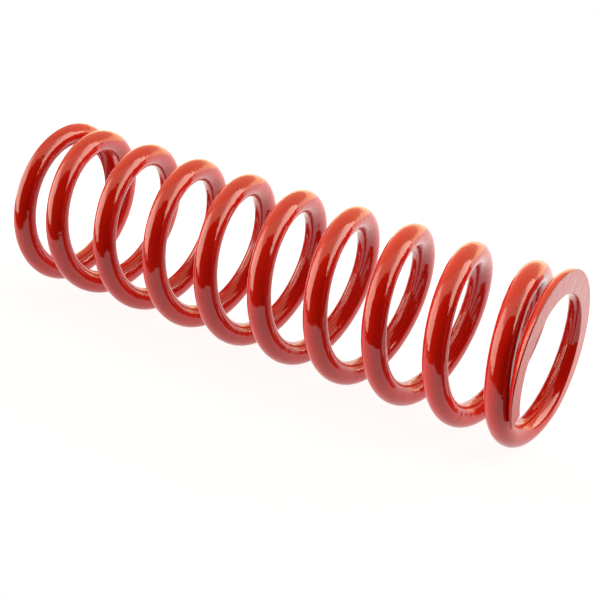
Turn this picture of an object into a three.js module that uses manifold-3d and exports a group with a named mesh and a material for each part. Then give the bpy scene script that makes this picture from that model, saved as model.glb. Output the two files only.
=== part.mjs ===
// Helical compression spring: round wire, right-hand wound, with closed and ground ends.
// Millimetres, +Z up. The coil lies on its side on Z = 0 with its axis along X, and the middle
// of its underside is the origin. +X points from the far end to the near end.
//
// The spring is a single wire. It is divided into one end coil at each end and thirds of a
// turn between them, so that it can shorten as a spring does: each section slides along X by
// its own share of the stroke. Every division lies in a plane that holds the coil's axis, so
// neighbouring sections slide past each other and keep the gap between them.

import * as THREE from "three";
import { mergeVertices } from "three/addons/utils/BufferGeometryUtils.js";
import Module from "manifold-3d";

// Driving dimensions.
const WIRE_DIAMETER = 6.7;
const OUTSIDE_DIAMETER = 49.5;
const ACTIVE_PITCH = 18.06; // advance in one turn where the coils stand open
const CLOSED_PITCH = 6.8; // advance in one turn of an end coil, a hair more than the wire
const OPENING_TURNS = 0.3; // turns over which the pitch grows from closed to active
// Each end is wound shut for so many turns from its tip, and its ground face cuts the centre
// line so many turns from the tip. The far end is ground less, so its tip is left thicker.
const FAR_END = { closedTurns: 0.81, groundTurns: 0.2 };
const NEAR_END = { closedTurns: 0.935, groundTurns: 0.28 };
const FAR_TIP_ANGLE = THREE.MathUtils.degToRad(-7.5); // about +X, from +Y towards +Z
const SECTION_GAP = 0.3; // between neighbouring sections of the wire

// How finely the round shapes are faceted.
const STEPS_PER_TURN = 24;
const WIRE_SIDES = 12;

// How the wire is divided.
const END_COIL_STEPS = 31;
const ACTIVE_COILS = 8;
const SECTIONS_PER_COIL = 3;
const SECTION_NAMES = ["a", "b", "c"];

// The wire's section is a regular polygon with the area of the true round wire.
const SIDE_ANGLE = (2 * Math.PI) / WIRE_SIDES;
const CORNER_RADIUS =
  (WIRE_DIAMETER / 2) * Math.sqrt(SIDE_ANGLE / Math.sin(SIDE_ANGLE));
const FLAT_RADIUS = CORNER_RADIUS * Math.cos(SIDE_ANGLE / 2);

// The middles of the outermost facets touch the true outside circle. The coil therefore lies
// on flats along its underside, and its height is the true outside diameter.
const OUTSIDE_RADIUS = OUTSIDE_DIAMETER / 2;
const STEP_ANGLE = (2 * Math.PI) / STEPS_PER_TURN;
const HELIX_RADIUS = OUTSIDE_RADIUS / Math.cos(STEP_ANGLE / 2) - FLAT_RADIUS;
const HALF_GAP_TURNS = SECTION_GAP / 2 / (2 * Math.PI * HELIX_RADIUS);

const END_COIL_TURNS = END_COIL_STEPS / STEPS_PER_TURN;
const TOTAL_TURNS = 2 * END_COIL_TURNS + ACTIVE_COILS;
const NEAR_TIP_ANGLE = FAR_TIP_ANGLE + 2 * Math.PI * TOTAL_TURNS;

const PAINT = new THREE.MeshStandardMaterial({
  color: 0xc9140a,
  roughness: 0.18,
  metalness: 0.0,
});

// How far along the axis the centre line has come, so many turns from the tip of an end.
function advance(end, turns) {
  const opening = (turns - end.closedTurns) / OPENING_TURNS;
  let opened = 0;
  if (opening >= 1) opened = opening - 1 / 2;
  else if (opening > 0) opened = opening ** 3 - opening ** 4 / 2;
  const growth = (ACTIVE_PITCH - CLOSED_PITCH) * OPENING_TURNS * opened;
  return CLOSED_PITCH * turns + growth;
}

// How far the centre line lies inside an end's ground face, so many turns from its tip.
function depth(end, turns) {
  return advance(end, turns) - advance(end, end.groundTurns);
}

const LENGTH = depth(FAR_END, TOTAL_TURNS / 2) + depth(NEAR_END, TOTAL_TURNS / 2);

// The turns at which a stretch of wire has its corners: its two ends, each drawn in by what
// it gives up to a gap, and every whole step between them.
function stations(firstStep, lastStep, firstInset, lastInset) {
  const turns = [];
  for (let step = firstStep; step <= lastStep; step++) {
    turns.push(step / STEPS_PER_TURN);
  }
  turns[0] += firstInset;
  turns[turns.length - 1] -= lastInset;
  return turns;
}

// How far out a facet's chord is at an angle, as a share of the radius at the whole steps.
function chordRadius(angle) {
  const fromMiddle = (angle % STEP_ANGLE) - STEP_ANGLE / 2;
  return Math.cos(STEP_ANGLE / 2) / Math.cos(fromMiddle);
}

// A closed stretch of wire around the X axis. Each ring of corners lies in a plane that holds
// the axis, and is stretched along X so that the leaning wire keeps its thickness.
function wire(turns, centreLine, pitch) {
  const lean = Math.hypot(1, pitch / (2 * Math.PI * HELIX_RADIUS));
  const corners = [];
  for (const turn of turns) {
    const angle = 2 * Math.PI * turn;
    const chord = chordRadius(angle);
    for (let side = 0; side < WIRE_SIDES; side++) {
      const around = (side + 1 / 2) * SIDE_ANGLE;
      const radius = (HELIX_RADIUS + CORNER_RADIUS * Math.cos(around)) * chord;
      corners.push(
        centreLine(turn) + CORNER_RADIUS * lean * Math.sin(around),
        radius * Math.cos(angle),
        radius * Math.sin(angle),
      );
    }
  }

  const faces = [];
  const lastRing = (turns.length - 1) * WIRE_SIDES;
  for (let ring = 0; ring < lastRing; ring += WIRE_SIDES) {
    for (let side = 0; side < WIRE_SIDES; side++) {
      const here = ring + side;
      const beside = ring + ((side + 1) % WIRE_SIDES);
      faces.push(here, here + WIRE_SIDES, beside);
      faces.push(beside, here + WIRE_SIDES, beside + WIRE_SIDES);
    }
  }
  for (let side = 1; side < WIRE_SIDES - 1; side++) {
    faces.push(0, side, side + 1);
    faces.push(lastRing, lastRing + side + 1, lastRing + side);
  }

  const geometry = new THREE.BufferGeometry();
  geometry.setAttribute(
    "position",
    new THREE.Float32BufferAttribute(corners, 3),
  );
  geometry.setIndex(faces);
  return geometry;
}

const wasm = await Module();
wasm.setup();

function toSolid(geometry) {
  const bare = new THREE.BufferGeometry();
  bare.setAttribute("position", geometry.getAttribute("position"));
  bare.setIndex(geometry.getIndex());
  const merged = mergeVertices(bare);
  return new wasm.Manifold(
    new wasm.Mesh({
      numProp: 3,
      vertProperties: merged.getAttribute("position").array,
      triVerts: new Uint32Array(merged.getIndex().array),
    }),
  );
}

function toGeometry(solid) {
  const { vertProperties, triVerts } = solid.getMesh();
  const geometry = new THREE.BufferGeometry();
  geometry.setAttribute(
    "position",
    new THREE.BufferAttribute(vertProperties, 3),
  );
  geometry.setIndex(new THREE.BufferAttribute(triVerts, 1));
  return geometry;
}

// An end coil, with its tip at angle 0 and its ground face at X = 0. It is the closed turn,
// the stretch where the pitch opens, and the grinding that thins the wire towards its tip.
function endCoil(end) {
  const turns = stations(0, END_COIL_STEPS, 0, HALF_GAP_TURNS);
  const coil = wire(turns, (turn) => depth(end, turn), CLOSED_PITCH);
  const groundOff = new THREE.BoxGeometry(
    2 * WIRE_DIAMETER,
    2 * OUTSIDE_DIAMETER,
    2 * OUTSIDE_DIAMETER,
  );
  groundOff.translate(-WIRE_DIAMETER, 0, 0);
  return toGeometry(toSolid(coil).subtract(toSolid(groundOff)));
}

// A third of a turn of open coil, starting at angle 0 with its centre line at X = 0.
function activeSection() {
  const steps = STEPS_PER_TURN / SECTIONS_PER_COIL;
  const turns = stations(0, steps, HALF_GAP_TURNS, HALF_GAP_TURNS);
  return wire(turns, (turn) => ACTIVE_PITCH * turn, ACTIVE_PITCH);
}

function addPiece(group, name, geometry, x, turnAboutX, turnAboutY) {
  const faceted = geometry.clone();
  faceted.computeVertexNormals();
  const piece = new THREE.Mesh(faceted, PAINT);
  piece.name = name;
  piece.position.x = x;
  piece.rotation.set(turnAboutX, turnAboutY, 0);
  group.add(piece);
}

const coils = new THREE.Group();
coils.position.z = OUTSIDE_RADIUS;

// The near end coil is built as the far one is, and turned end for end.
const farCoil = endCoil(FAR_END);
const nearCoil = endCoil(NEAR_END);
addPiece(coils, "far_end_coil", farCoil, -LENGTH / 2, FAR_TIP_ANGLE, 0);
addPiece(coils, "near_end_coil", nearCoil, LENGTH / 2, NEAR_TIP_ANGLE, Math.PI);

const section = activeSection();
const firstX = depth(FAR_END, END_COIL_TURNS) - LENGTH / 2;
for (let coil = 0; coil < ACTIVE_COILS; coil++) {
  SECTION_NAMES.forEach((letter, third) => {
    const turnsAlong = coil + third / SECTIONS_PER_COIL;
    const angle = FAR_TIP_ANGLE + 2 * Math.PI * (END_COIL_TURNS + turnsAlong);
    const x = firstX + ACTIVE_PITCH * turnsAlong;
    addPiece(coils, `active_coil_${coil + 1}${letter}`, section, x, angle, 0);
  });
}

const spring = new THREE.Group();
spring.add(coils);

export default spring;
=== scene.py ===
"""A red powder-coated compression spring, lying on its side on a plain white surface.

The spring is one continuous piece of wire. The frame holds it as two end coils and short
sections between them, and this script draws the whole wire over them as one smooth mesh.
Everything is in metres, with the coil's axis along X.
"""

import math
from collections import namedtuple

import bpy
import numpy as np
from mathutils import Matrix, Vector


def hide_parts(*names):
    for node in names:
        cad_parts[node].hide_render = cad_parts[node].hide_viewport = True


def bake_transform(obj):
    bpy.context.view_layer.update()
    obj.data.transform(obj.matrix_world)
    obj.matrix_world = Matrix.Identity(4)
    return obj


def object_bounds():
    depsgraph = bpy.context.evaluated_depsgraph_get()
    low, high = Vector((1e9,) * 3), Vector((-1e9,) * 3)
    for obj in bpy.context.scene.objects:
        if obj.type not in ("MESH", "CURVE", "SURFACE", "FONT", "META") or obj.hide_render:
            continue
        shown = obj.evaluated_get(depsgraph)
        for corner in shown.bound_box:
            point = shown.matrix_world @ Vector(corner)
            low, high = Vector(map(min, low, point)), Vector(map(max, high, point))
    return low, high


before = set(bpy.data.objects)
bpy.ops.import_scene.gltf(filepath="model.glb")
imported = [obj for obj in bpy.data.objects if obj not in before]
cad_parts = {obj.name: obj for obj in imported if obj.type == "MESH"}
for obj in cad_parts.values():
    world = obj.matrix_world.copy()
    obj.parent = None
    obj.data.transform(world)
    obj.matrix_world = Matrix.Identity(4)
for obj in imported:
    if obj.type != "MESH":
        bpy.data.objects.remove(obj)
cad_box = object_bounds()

# The spring's driving sizes.
WIRE_RADIUS = 0.00335
ACTIVE_PITCH = 0.01806
CLOSED_PITCH = 0.0068
OPENING_TURNS = 0.3
End = namedtuple("End", "closed_turns ground_turns")
FAR_END = End(closed_turns=0.81, ground_turns=0.2)
NEAR_END = End(closed_turns=0.935, ground_turns=0.28)
TIP_ANGLE = math.radians(-7.5)  # of the far end's tip, about +X, from +Y towards +Z
END_TURNS = 31 / 24  # turns that move with each end of the spring
SHARING_TURNS = 8  # turns between them, which share the stroke
TOTAL_TURNS = SHARING_TURNS + 2 * END_TURNS
PAINTED_EDGE = 0.00028  # radius that the coating leaves on the ground edges
LEAST_EDGE = PAINTED_EDGE / 20  # radius of those edges where the tips are rounded off
# The near end's last turn has sprung out of round a little, most where it passes the top.
SPRUNG_OUT = 0.00065
SPRUNG_AT = 0.36  # turns from the tip

# How finely the wire is drawn.
RINGS_PER_TURN = 112
FLAT_STRIPS = 6
EDGE_STRIPS = 3
ARC_STRIPS = 40
# Half of the arc that the ground face's strips take when the face has faded out.
NARROW_FLAT = math.radians(8)
EVEN_FROM, EVEN_TO = 0.85, 1.25  # turns over which the strips spread out evenly round the wire
# The coat's ground face fades out where the centre line is this many wire radii deep.
FACE_FADES_FROM, FACE_FADES_TO = 0.8, 0.99

# The camera. It looks at a place on the coil's axis, and is then shifted in its own plane.
CAMERA_AZIMUTH = math.radians(31.0)
CAMERA_ELEVATION = math.radians(28.25)
CAMERA_ROLL = math.radians(3.1)
CAMERA_DISTANCE = 0.391
CAMERA_TARGET_X = 0.0073
CAMERA_LEFTWARD, CAMERA_DOWNWARD = 0.0019, 0.0056
LENS_MM, SENSOR_MM = 82.3, 36

# Places from the frame.
LOW, HIGH = cad_box
AXIS_HEIGHT = (LOW.z + HIGH.z) / 2
COIL_RADIUS = (HIGH.z - LOW.z) / 2 - WIRE_RADIUS
HALF_LENGTH = (HIGH.x - LOW.x) / 2


def smoothstep(value):
    value = np.clip(value, 0.0, 1.0)
    return value * value * (3 - 2 * value)


# ---------------------------------------------------------------- the wire's centre line


def advance(end, turns):
    """How far along the axis the centre line has come, so many turns from the end's tip."""
    opening = (turns - end.closed_turns) / OPENING_TURNS
    partly = min(max(opening, 0.0), 1.0)
    opened = partly**3 - partly**4 / 2 + max(opening - 1, 0.0)
    return CLOSED_PITCH * turns + (ACTIVE_PITCH - CLOSED_PITCH) * OPENING_TURNS * opened


def pitch_at(end, turns):
    opening = smoothstep((turns - end.closed_turns) / OPENING_TURNS)
    return CLOSED_PITCH + (ACTIVE_PITCH - CLOSED_PITCH) * opening


def centre_depth(end, turns):
    """How far the centre line lies inside the end's ground face."""
    return advance(end, turns) - advance(end, end.ground_turns)


def centre_radius(end, turns):
    """How far the centre line lies from the coil's axis."""
    if end is not NEAR_END or turns > SPRUNG_AT + 0.5:
        return COIL_RADIUS
    return COIL_RADIUS + SPRUNG_OUT * (1 + math.cos(2 * math.pi * (turns - SPRUNG_AT))) / 2


# ---------------------------------------------------------------- the wire's section

STRIPS = FLAT_STRIPS + 2 * EDGE_STRIPS + ARC_STRIPS


def ground_section(radius, plane, edge):
    """A round section cut off below the line at height plane, with its two corners rounded.

    Returns offsets outward from the coil and along its axis, and the normals there.
    """
    side = math.sqrt(max((radius - edge) ** 2 - (plane + edge) ** 2, 0.0))
    corner = math.atan2(plane + edge, side)
    offsets, normals = [], []

    def put(x, y, angle):
        offsets.append((x, y))
        normals.append((math.cos(angle), math.sin(angle)))

    down = -math.pi / 2
    for k in range(FLAT_STRIPS):
        put(side * (2 * k / FLAT_STRIPS - 1), plane, down)
    for k in range(EDGE_STRIPS):
        angle = down + (corner - down) * k / EDGE_STRIPS
        put(side + edge * math.cos(angle), plane + edge + edge * math.sin(angle), angle)
    for k in range(ARC_STRIPS):
        angle = corner + (math.pi - 2 * corner) * k / ARC_STRIPS
        put(radius * math.cos(angle), radius * math.sin(angle), angle)
    for k in range(EDGE_STRIPS):
        angle = math.pi - corner + (corner - down) * k / EDGE_STRIPS
        put(-side + edge * math.cos(angle), plane + edge + edge * math.sin(angle), angle)
    return np.array(offsets), np.array(normals)


def round_section(radius, plane, turns):
    """A whole round section. Its strips are gathered where the ground face fades out, and
    spread evenly further along the wire."""
    index = np.arange(STRIPS)
    even = (index - FLAT_STRIPS / 2) * 2 * math.pi / STRIPS
    zone = FLAT_STRIPS + 2 * EDGE_STRIPS
    place = (index + EDGE_STRIPS) % STRIPS
    gathered = np.where(
        place < zone,
        NARROW_FLAT * (2 * place / zone - 1),
        NARROW_FLAT + (2 * math.pi - 2 * NARROW_FLAT) * (place - zone) / ARC_STRIPS,
    )
    gathered = np.where(index >= STRIPS - EDGE_STRIPS, gathered + 2 * math.pi, gathered)
    spread = smoothstep((turns - EVEN_FROM) / (EVEN_TO - EVEN_FROM))
    angle = gathered + (even - gathered) * spread - math.pi / 2
    normals = np.stack([np.cos(angle), np.sin(angle)], 1)
    offsets = radius * normals
    offsets[:, 1] = np.maximum(offsets[:, 1], plane)
    return offsets, normals


def section_at(end, turns, inset):
    """The section so many turns from the end's tip, drawn in all round by inset."""
    lean = math.hypot(1, pitch_at(end, turns) / (2 * math.pi * COIL_RADIUS))
    radius = WIRE_RADIUS - inset
    plane = -centre_depth(end, turns) / lean + inset
    edge = max(PAINTED_EDGE - inset, LEAST_EDGE)
    if plane > -radius * math.cos(NARROW_FLAT):
        offsets, normals = ground_section(radius, plane, edge)
    else:
        offsets, normals = round_section(radius, plane, turns)
    offsets = offsets * (1, lean)
    normals = normals / (1, lean)
    return offsets, normals / np.linalg.norm(normals, axis=1, keepdims=True)


# ---------------------------------------------------------------- the wire's mesh


def ring_places():
    """Turns along the wire, inset, and how far each ring's normals lean out over the tip.

    The rings at each tip round its cut end off by the radius that the coating leaves.
    """
    edge_turns = PAINTED_EDGE / (2 * math.pi * COIL_RADIUS)
    tip = []
    for k in range(EDGE_STRIPS):
        lean = math.pi / 2 * (1 - k / EDGE_STRIPS)
        inset = PAINTED_EDGE * (1 - math.cos(lean))
        tip.append((edge_turns * (1 - math.sin(lean)), inset, lean))
    count = round((TOTAL_TURNS - 2 * edge_turns) * RINGS_PER_TURN)
    middle = np.linspace(edge_turns, TOTAL_TURNS - edge_turns, count + 1)
    places = tip + [(turns, 0.0, 0.0) for turns in middle]
    return places + [(TOTAL_TURNS - turns, inset, -lean) for turns, inset, lean in reversed(tip)]


def build_wire():
    """Corner places, normals and blend weights, one ring after another, and how far each
    corner belongs to a ground face and to its edges."""
    corners, normals, weights, faces, edges = [], [], [], [], []
    index = np.arange(STRIPS)
    on_face = index <= FLAT_STRIPS
    on_edge = (index > STRIPS - EDGE_STRIPS) | (abs(index - FLAT_STRIPS - EDGE_STRIPS / 2) < 1)
    mirrored = (STRIPS // 2 + FLAT_STRIPS - index) % STRIPS
    for turns, inset, lean in ring_places():
        near_half = turns > TOTAL_TURNS / 2
        end = NEAR_END if near_half else FAR_END
        from_tip = TOTAL_TURNS - turns if near_half else turns
        offsets, facing = section_at(end, from_tip, inset)
        along = centre_depth(end, from_tip) - HALF_LENGTH
        if near_half:
            offsets, facing = offsets[mirrored] * (1, -1), facing[mirrored] * (1, -1)
            along = -along
        angle = TIP_ANGLE + 2 * math.pi * turns
        outward = np.array([0.0, math.cos(angle), math.sin(angle)])
        onward = np.array([0.0, -math.sin(angle), math.cos(angle)])
        radius = centre_radius(end, from_tip) + offsets[:, :1]
        place = radius * outward + (along + offsets[:, 1:]) * (1.0, 0.0, 0.0)
        place[:, 2] += AXIS_HEIGHT
        climb = pitch_at(end, from_tip) / (2 * math.pi) / radius
        normal = facing[:, :1] * outward + facing[:, 1:] * ((1.0, 0.0, 0.0) - climb * onward)
        normal /= np.linalg.norm(normal, axis=1, keepdims=True)
        corners.append(place)
        normals.append(normal * math.cos(lean) - onward * math.sin(lean))
        share = (turns - END_TURNS) / SHARING_TURNS
        weights.append(np.full(STRIPS, np.clip(share, 0.0, 1.0)))
        deep = centre_depth(end, from_tip) / WIRE_RADIUS
        fading = (deep - FACE_FADES_FROM) / (FACE_FADES_TO - FACE_FADES_FROM)
        ground = 1 - smoothstep(fading)
        order = mirrored if near_half else index
        faces.append(ground * on_face[order])
        edges.append(np.maximum(ground * on_edge[order], abs(lean) / (math.pi / 2)))
    return tuple(np.array(each) for each in (corners, normals, weights, faces, edges))


def put_attribute(mesh, name, kind, field, values):
    attribute = mesh.attributes.new(name, kind, "POINT")
    attribute.data.foreach_set(field, values.astype(np.float32).ravel())


def make_wire():
    corners, normals, weights, ground_faces, ground_edges = build_wire()
    rings = len(corners)
    faces = [tuple(reversed(range(STRIPS)))]
    for ring in range(rings - 1):
        start = ring * STRIPS
        for strip in range(STRIPS):
            beside = (strip + 1) % STRIPS
            faces.append(
                (start + strip, start + STRIPS + strip, start + STRIPS + beside, start + beside)
            )
    last = (rings - 1) * STRIPS
    faces.append(tuple(range(last, last + STRIPS)))

    mesh = bpy.data.meshes.new("spring_wire")
    mesh.from_pydata(corners.reshape(-1, 3).tolist(), [], faces)
    mesh.update()
    mesh.shade_smooth()
    mesh.normals_split_custom_set_from_vertices(normals.reshape(-1, 3).tolist())
    put_attribute(mesh, "rest_place", "FLOAT_VECTOR", "vector", corners)
    put_attribute(mesh, "ground_face", "FLOAT", "value", ground_faces)
    put_attribute(mesh, "ground_edge", "FLOAT", "value", ground_edges)
    wire = bpy.data.objects.new("spring_wire", mesh)
    bpy.context.scene.collection.objects.link(wire)
    return wire, weights.ravel()


# ---------------------------------------------------------------- node trees


class Graph:
    """Adds nodes to a tree. A value is a number or the output of another node."""

    def __init__(self, tree):
        self.tree = tree

    def node(self, kind, **settings):
        node = self.tree.nodes.new(kind)
        for name, value in settings.items():
            setattr(node, name, value)
        return node

    def put(self, socket, value):
        if isinstance(value, bpy.types.NodeSocket):
            self.tree.links.new(value, socket)
        else:
            socket.default_value = value

    def math(self, operation, *values):
        node = self.node("ShaderNodeMath", operation=operation)
        for socket, value in zip(node.inputs, values):
            self.put(socket, value)
        return node.outputs[0]

    def fade(self, value, start, end, low=0.0, high=1.0):
        """low where value is at start, high where it is at end, and smooth between them."""
        node = self.node("ShaderNodeMapRange", interpolation_type="SMOOTHSTEP")
        for name, given in zip(
            ("Value", "From Min", "From Max", "To Min", "To Max"), (value, start, end, low, high)
        ):
            self.put(node.inputs[name], given)
        return node.outputs["Result"]

    # A Mix node names its sockets alike for every kind of value, so they go by number here.

    def mix(self, share, first, second):
        node = self.node("ShaderNodeMix", data_type="FLOAT")
        self.put(node.inputs[0], share)
        self.put(node.inputs[2], first)
        self.put(node.inputs[3], second)
        return node.outputs[0]

    def mix_colours(self, share, first, second):
        node = self.node("ShaderNodeMix", data_type="RGBA")
        self.put(node.inputs[0], share)
        self.put(node.inputs[6], first)
        self.put(node.inputs[7], second)
        return node.outputs[2]

    def attribute(self, name, output):
        return self.node("ShaderNodeAttribute", attribute_name=name).outputs[output]

    def noise(self, place, size, detail=0.0):
        """Soft random blots, about size across, from 0 to 1."""
        node = self.node("ShaderNodeTexNoise")
        self.put(node.inputs["Vector"], place)
        self.put(node.inputs["Scale"], 1 / size)
        self.put(node.inputs["Detail"], detail)
        return node.outputs[0]


# ---------------------------------------------------------------- materials

# The coat's colour where its film is thick and thin, and what its edges turn towards.
THICK_RED = (0.47, 0.0070, 0.0030, 1)
THIN_RED = (0.52, 0.0105, 0.0045, 1)
BARE_EDGE = (0.10, 0.004, 0.003, 1)
EDGE_SHARE = 0.5  # how far the edges turn towards it
COAT_IOR = 1.6

# The coat's unevenness. A height is what is added where its noise is at its highest.
CLOUD_SIZE, CLOUD_EDGES = 0.011, (0.3, 0.7)
PEEL_SIZE, PEEL_HEIGHT = 0.0026, 0.0001
FINE_PEEL_SIZE, FINE_PEEL_HEIGHT = 0.0008, 0.000004
MARK_SIZE, MARK_HEIGHT = 0.0007, 0.0000025
MARK_STRETCH = (1.0, 0.12, 1.0)  # the marks run along Y
DUST_SPACING = 0.006
DUST_SIZE, DUST_HEIGHT = 0.00022, 0.00003

# The coat's roughness, and what smears and the ground faces add to it.
THIN_ROUGHNESS, THICK_ROUGHNESS = 0.095, 0.07
SMEAR_SIZE, SMEAR_EDGES, SMEAR_ROUGHNESS = 0.02, (0.45, 0.75), 0.035
FACE_ROUGHNESS = 0.03

# The white sheet, and how strongly it glows in front of and behind the spring. Its glow is
# painted light that stands in for a lamp under the sheet, and the brighter glow behind the
# spring is a painted pool of light.
SHEET_COLOUR = (0.13, 0.135, 0.15, 1)
SHEET_PAINTED_LIGHT_COLOUR = (1, 0.99, 0.98, 1)
PAINTED_POOL_EDGES = (-0.02, 0.06)  # places along Y
FRONT_PAINTED_GLOW, BACK_PAINTED_LIGHT_POOL = 0.88, 1.22


def powder_coat():
    """Gloss red powder coat: a soft orange peel, a few dust nibs, and less film on the edges."""
    material = bpy.data.materials.new("red_powder_coat")
    material.use_nodes = True
    graph = Graph(material.node_tree)
    math_, fade, mix = graph.math, graph.fade, graph.mix

    # Places on the unloaded wire, so that the coat moves with it.
    place = graph.attribute("rest_place", "Vector")
    edge = graph.attribute("ground_edge", "Fac")
    face = graph.attribute("ground_face", "Fac")

    # How thick the film is, from 0 to 1. It draws back from the edges of the ground faces.
    clouds = fade(graph.noise(place, CLOUD_SIZE, detail=2.0), *CLOUD_EDGES)
    film = math_("MULTIPLY", clouds, math_("SUBTRACT", 1.0, edge))
    red = graph.mix_colours(film, THIN_RED, THICK_RED)
    red = graph.mix_colours(math_("MULTIPLY", edge, EDGE_SHARE), red, BARE_EDGE)

    # Dust that settled in the powder before it was baked.
    specks = graph.node("ShaderNodeTexVoronoi")
    graph.put(specks.inputs["Vector"], place)
    graph.put(specks.inputs["Scale"], 1 / DUST_SPACING)
    nib = fade(specks.outputs["Distance"], DUST_SIZE / DUST_SPACING, 0.0)

    # Grinding marks, filled by the coat but still to be felt on the end faces.
    stretched = graph.node("ShaderNodeVectorMath", operation="MULTIPLY")
    graph.put(stretched.inputs[0], place)
    graph.put(stretched.inputs[1], MARK_STRETCH)
    marks = math_("MULTIPLY", graph.noise(stretched.outputs[0], MARK_SIZE), face)

    height = math_("MULTIPLY", graph.noise(place, PEEL_SIZE, detail=1.0), PEEL_HEIGHT)
    fine_peel = graph.noise(place, FINE_PEEL_SIZE)
    height = math_("MULTIPLY_ADD", fine_peel, FINE_PEEL_HEIGHT, height)
    height = math_("MULTIPLY_ADD", marks, MARK_HEIGHT, height)
    height = math_("MULTIPLY_ADD", nib, DUST_HEIGHT, height)
    bump = graph.node("ShaderNodeBump")
    graph.put(bump.inputs["Distance"], 1.0)
    graph.put(bump.inputs["Height"], height)

    # Thin film bakes a little duller, and handling has left faint smears.
    smears = graph.noise(place, SMEAR_SIZE, detail=3.0)
    smears = fade(smears, *SMEAR_EDGES, 0.0, SMEAR_ROUGHNESS)
    roughness = math_("ADD", mix(film, THIN_ROUGHNESS, THICK_ROUGHNESS), smears)
    roughness = math_("MULTIPLY_ADD", face, FACE_ROUGHNESS, roughness)

    shader = material.node_tree.nodes["Principled BSDF"]
    shader.inputs["IOR"].default_value = COAT_IOR
    graph.put(shader.inputs["Base Color"], red)
    graph.put(shader.inputs["Roughness"], roughness)
    graph.put(shader.inputs["Normal"], bump.outputs[0])
    return material


def white_surface():
    """A white sheet that glows with painted light in place of a lamp below it, and glows more
    brightly behind the spring as a painted pool of light.
    """
    material = bpy.data.materials.new("white_surface")
    material.use_nodes = True
    graph = Graph(material.node_tree)
    across = graph.node("ShaderNodeSeparateXYZ")
    graph.put(across.inputs[0], graph.node("ShaderNodeTexCoord").outputs["Object"])
    shader = material.node_tree.nodes["Principled BSDF"]
    shader.inputs["Base Color"].default_value = SHEET_COLOUR
    shader.inputs["Roughness"].default_value = 1.0
    shader.inputs["Specular IOR Level"].default_value = 0.0
    # The emission is painted light: it stands in for a lamp under the sheet, and it rises behind
    # the spring into a painted pool of light.
    shader.inputs["Emission Color"].default_value = SHEET_PAINTED_LIGHT_COLOUR
    glow = graph.fade(across.outputs["Y"], *PAINTED_POOL_EDGES, FRONT_PAINTED_GLOW, BACK_PAINTED_LIGHT_POOL)
    graph.put(shader.inputs["Emission Strength"], glow)
    return material


# ---------------------------------------------------------------- the studio

SHEET_CORNERS = [(-0.5, 0.04, 0), (0.105, -0.135, 0), (0.2, 0.32, 0), (-0.5, 0.32, 0)]

# How bright each part of the tent is.
LOWER_WALL, UPPER_WALL = 4.8, 1.6
LEFT_WALL_SHARE = 0.85  # of the right wall's brightness
TENT_TOP = 1.2
LOW_BACK_WALL = 2.1
HIGH_BACK_SHARE = 0.42  # of the low back wall's brightness

# Where the tent's parts meet. Heights and depths are over the distance to a side wall, and a
# pair is where a soft edge starts and ends.
WALL_DIMS = (0.75, 1.3)
TOP_EDGE = (1.5, 2.2)
TOP_HEIGHT = 1.67
FRONT_EDGE = (-0.68, -0.56)
BACK_EDGE_RISE, BACK_EDGE_LOW, BACK_EDGE_HIGH, BACK_EDGE_BLUR = (0.8, 3.0), 0.57, 0.25, 0.04
LEFT_FOOT = (-0.2, -0.06)
RIGHT_FOOT, RIGHT_FOOT_SLOPE, RIGHT_FOOT_BLUR = 0.25, -0.36, 0.03
SIDES_BLUR = 0.01  # about the plane between the left and right walls
BACK_FOOT, BACK_DIMS = (-0.35, -0.2), (0.05, 0.25)  # upward parts of the direction
LEAST_ASIDE = 0.001  # keeps the distance to a side wall above zero

# How warm the light is, from 0 to 1, and its red and blue at 1.
WALL_WARMTH, TOP_WARMTH, BACK_WARMTH = 0.5, 0.8, 1.0
WARM_RED, WARM_BLUE = 1.15, 0.6


def make_floor():
    """A white sheet. The coils reflect its edges and the dark beyond them, but to the camera
    what lies beyond is as white as the sheet."""
    mesh = bpy.data.meshes.new("floor")
    mesh.from_pydata(SHEET_CORNERS, [], [(0, 1, 2, 3)])
    floor = bpy.data.objects.new("floor", mesh)
    bpy.context.scene.collection.objects.link(floor)
    mesh.materials.append(white_surface())


def make_camera():
    """The photograph's view: from the near end's side, above, with a slight roll."""
    azimuth, elevation, roll = CAMERA_AZIMUTH, CAMERA_ELEVATION, CAMERA_ROLL
    target = Vector((CAMERA_TARGET_X, 0.0, AXIS_HEIGHT))
    back = Vector(
        (
            math.sin(azimuth) * math.cos(elevation),
            -math.cos(azimuth) * math.cos(elevation),
            math.sin(elevation),
        )
    )
    right = Vector((math.cos(azimuth), math.sin(azimuth), 0))
    up = back.cross(right)
    data = bpy.data.cameras.new("camera")
    data.lens = LENS_MM
    data.sensor_width = SENSOR_MM
    camera = bpy.data.objects.new("camera", data)
    bpy.context.scene.collection.objects.link(camera)
    across = right * math.cos(roll) + up * math.sin(roll)
    upward = up * math.cos(roll) - right * math.sin(roll)
    turn = Matrix((across, upward, back)).transposed().to_4x4()
    place = target + back * CAMERA_DISTANCE - right * CAMERA_LEFTWARD - up * CAMERA_DOWNWARD
    camera.matrix_world = Matrix.Translation(place) @ turn
    bpy.context.scene.camera = camera


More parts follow.
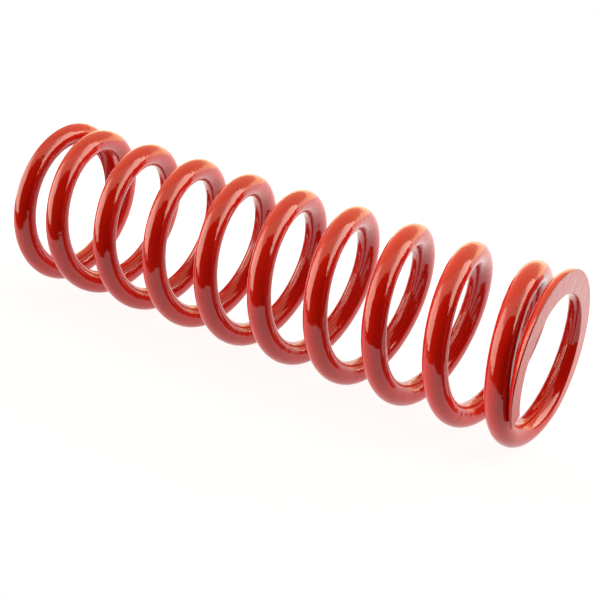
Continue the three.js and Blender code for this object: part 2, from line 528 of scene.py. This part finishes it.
def make_world():
    """A white light tent, lit from both sides, above and behind, with its front open to the
    camera."""
    world = bpy.data.worlds.new("studio")
    world.use_nodes = True
    graph = Graph(world.node_tree)
    math_, fade, mix = graph.math, graph.fade, graph.mix

    # The direction that light comes from: right of, behind and above the spring, as the camera
    # sees it.
    seen = graph.node("ShaderNodeTexCoord").outputs["Generated"]
    turned = graph.node("ShaderNodeVectorRotate", rotation_type="Z_AXIS")
    graph.put(turned.inputs["Vector"], seen)
    graph.put(turned.inputs["Angle"], -CAMERA_AZIMUTH)
    parts = graph.node("ShaderNodeSeparateXYZ")
    graph.put(parts.inputs[0], turned.outputs[0])
    right, behind, up = parts.outputs
    aside = math_("MAXIMUM", math_("ABSOLUTE", right), LEAST_ASIDE)
    to_wall = math_("MAXIMUM", aside, math_("DIVIDE", up, TOP_HEIGHT))
    depth = math_("DIVIDE", behind, to_wall)
    height = math_("DIVIDE", up, aside)

    # The side walls, each lit by a lamp behind its lower part, and the top above them.
    wall = fade(height, *WALL_DIMS, LOWER_WALL, UPPER_WALL)
    right_foot = math_("MULTIPLY_ADD", depth, RIGHT_FOOT_SLOPE, RIGHT_FOOT)
    above_foot = math_("SUBTRACT", height, right_foot)
    right_wall = math_("MULTIPLY", wall, fade(above_foot, -RIGHT_FOOT_BLUR, RIGHT_FOOT_BLUR))
    dimmer = math_("MULTIPLY", wall, LEFT_WALL_SHARE)
    left_wall = math_("MULTIPLY", dimmer, fade(height, *LEFT_FOOT))
    walls = mix(fade(right, -SIDES_BLUR, SIDES_BLUR), left_wall, right_wall)
    is_top = fade(height, *TOP_EDGE)
    lit = mix(is_top, walls, TENT_TOP)

    # The back wall, bright low down and dimmer above. Its side edges lean forward as they rise.
    back_edge = fade(height, *BACK_EDGE_RISE, BACK_EDGE_LOW, BACK_EDGE_HIGH)
    past_edge = math_("SUBTRACT", depth, back_edge)
    is_back = fade(past_edge, -BACK_EDGE_BLUR, BACK_EDGE_BLUR)
    low_back = fade(up, *BACK_FOOT, 0.0, LOW_BACK_WALL)
    back_wall = math_("MULTIPLY", low_back, fade(up, *BACK_DIMS, 1.0, HIGH_BACK_SHARE))
    tent = mix(is_back, lit, back_wall)
    glow = math_("MULTIPLY", tent, fade(depth, *FRONT_EDGE))

    # The lamps are a little warm, and the cloth warms what it passes on.
    seen_by_camera = graph.node("ShaderNodeLightPath").outputs["Is Camera Ray"]
    tent_warmth = fade(height, *TOP_EDGE, WALL_WARMTH, TOP_WARMTH)
    warmth = mix(seen_by_camera, mix(is_back, tent_warmth, BACK_WARMTH), 0.0)
    tint = graph.node("ShaderNodeCombineColor")
    graph.put(tint.inputs["Red"], fade(warmth, 0.0, 1.0, 1.0, WARM_RED))
    graph.put(tint.inputs["Green"], 1.0)
    graph.put(tint.inputs["Blue"], fade(warmth, 0.0, 1.0, 1.0, WARM_BLUE))

    # The camera sees plain white.
    background = world.node_tree.nodes["Background"]
    graph.put(background.inputs["Color"], tint.outputs[0])
    graph.put(background.inputs["Strength"], mix(seen_by_camera, glow, 1.0))
    bpy.context.scene.world = world


make_camera()
make_world()
make_floor()

wire, shares = make_wire()
wire.data.materials.append(powder_coat())
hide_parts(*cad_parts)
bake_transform(wire)

bpy.context.scene.view_settings.view_transform = "Standard"
